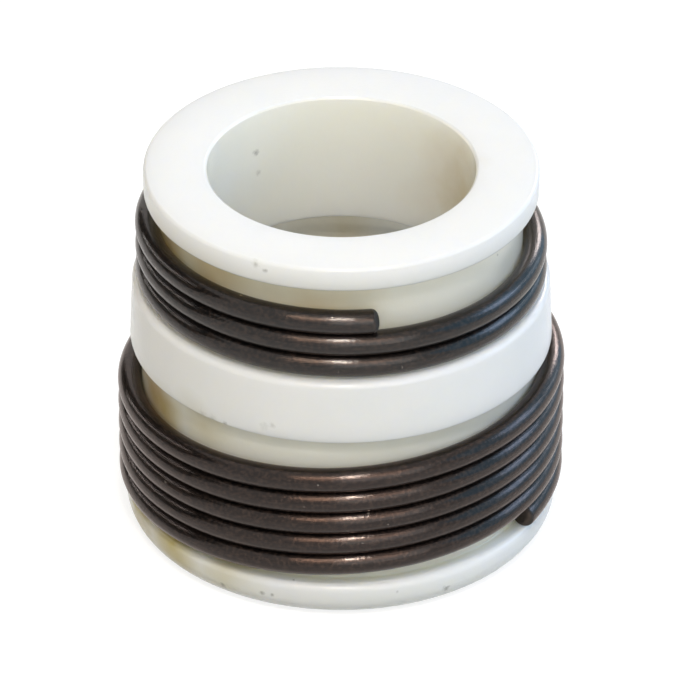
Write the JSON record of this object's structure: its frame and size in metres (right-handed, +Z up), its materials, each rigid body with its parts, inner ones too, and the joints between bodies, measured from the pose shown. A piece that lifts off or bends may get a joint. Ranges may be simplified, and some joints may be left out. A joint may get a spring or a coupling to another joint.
{
  "type": "valve stem seal",
  "caption": "White moulded sleeve seal for an engine valve: a stem bore over a wider guide bore, with dark close-wound wire springs seated in outer grooves.",
  "frame": {"origin": "centre of the bottom rim's lower face, on the bore axis", "axes": "+Z up along the bore axis towards the stem bore's mouth, +X to the viewer's right in the picture"},
  "size_m": [0.0186, 0.0186, 0.0163],
  "materials": {
    "moulded_sleeve": "white moulded seal plastic, smooth with a soft sheen",
    "spring_wire": "oil-tempered spring steel wire, dark brown with drawn lines"
  },
  "bodies": {
    "root": {"seal_body": "moulded_sleeve", "stem_spring": "spring_wire", "guide_spring": "spring_wire"}
  },
  "joints": []
}
